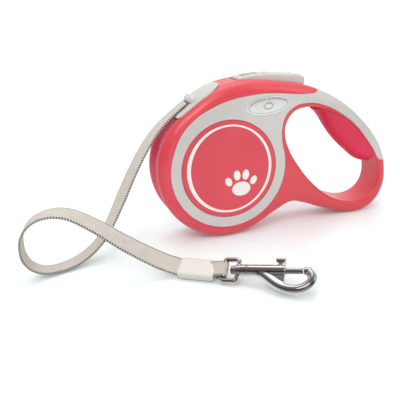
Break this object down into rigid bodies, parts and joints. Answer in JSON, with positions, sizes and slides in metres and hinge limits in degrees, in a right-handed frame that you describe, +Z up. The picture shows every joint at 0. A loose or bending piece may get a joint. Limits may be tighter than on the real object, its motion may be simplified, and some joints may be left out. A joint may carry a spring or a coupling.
{
  "type": "retractable leash",
  "caption": "Retractable tape leash: two-shell housing with hand grip, spring reel, brake button with lock slider, flat tape and a swivel snap hook.",
  "frame": {"origin": "middle of the housing's footprint, on the surface it stands on, with the free tape and hook left out", "axes": "+X from the tape outlet to the hand grip, +Y from the left (button-side view) shell to the right shell, +Z up"},
  "size_m": [0.2263, 0.1145, 0.0921],
  "materials": {
    "shell_red": "satin moulded ABS, coral red",
    "trim_grey": "fine matt texture, warm light grey",
    "label_red": "printed satin disc",
    "badge_silver": "domed satin silver",
    "grip_soft": "soft-touch elastomer, crimson",
    "steel": "zinc plated",
    "chrome": "bright nickel chrome plate",
    "spring_steel": "blued spring steel",
    "tape": "woven polyester tape, warm beige",
    "tape_dark": "woven polyester tape",
    "sleeve": "cream moulded polymer",
    "reel_white": "natural acetal"
  },
  "bodies": {
    "housing": {"left_shell": "shell_red", "right_shell": "shell_red", "left_trim": "trim_grey", "right_trim": "trim_grey", "left_label": "label_red", "right_label": "label_red", "left_badge": "badge_silver", "right_badge": "badge_silver", "tape_nozzle": "trim_grey", "nozzle_guide_pin": "sleeve", "grip_pad": "grip_soft", "axle": "steel", "spring_arbor": "steel", "spiral_spring": "spring_steel", "button_pin": "steel", "button_spring": "spring_steel", "housing_screws": "steel", "free_tape": "tape", "tape_sleeve": "sleeve", "tape_loop": "tape_dark"},
    "reel": {"reel": "reel_white", "reel_cover": "reel_white", "tape_winding": "tape"},
    "brake_button": {"brake_button": "trim_grey"},
    "lock_slider": {"lock_slider": "trim_grey"},
    "swivel_eye": {"swivel_eye": "chrome"},
    "snap_hook": {"swivel_post": "chrome", "swivel_collar": "chrome", "hook_body": "chrome", "bolt_spring": "spring_steel"},
    "hook_bolt": {"hook_bolt": "chrome"}
  },
  "joints": [
    {"name": "reel_spin", "type": "hinge", "parent": "housing", "child": "reel", "pos_m": [-0.03255, 0, 0.0415], "axis": [0, 1, 0], "range_deg": [0, 6120], "stiffness_Nm_per_rad": 0.0004, "springref_deg": -687.55},
    {"name": "button_press", "type": "hinge", "parent": "housing", "child": "brake_button", "pos_m": [0.01445, 0, 0.0812], "axis": [0, -1, 0], "range_deg": [0, 5], "stiffness_Nm_per_rad": 1.2, "springref_deg": -1.72, "deforming": ["button_spring"]},
    {"name": "lock_slide", "type": "slide", "parent": "brake_button", "child": "lock_slider", "axis": [1, 0, 0], "range_m": [0, 0.003]},
    {"name": "eye_swing", "type": "hinge", "parent": "housing", "child": "swivel_eye", "pos_m": [-0.05609, -0.06433, 0.00547], "axis": [0.4694, 0.6746, 0.5697], "range_deg": [-60, 60]},
    {"name": "hook_swivel", "type": "hinge", "parent": "swivel_eye", "child": "snap_hook", "pos_m": [-0.04995, -0.06938, 0.0064], "axis": [0.7664, -0.6317, 0.1167], "continuous": true},
    {"name": "bolt_slide", "type": "slide", "parent": "snap_hook", "child": "hook_bolt", "axis": [-0.7664, 0.6317, -0.1167], "range_m": [0, 0.0055], "stiffness_N_per_m": 500, "springref_m": -0.002, "deforming": ["bolt_spring"]}
  ]
}
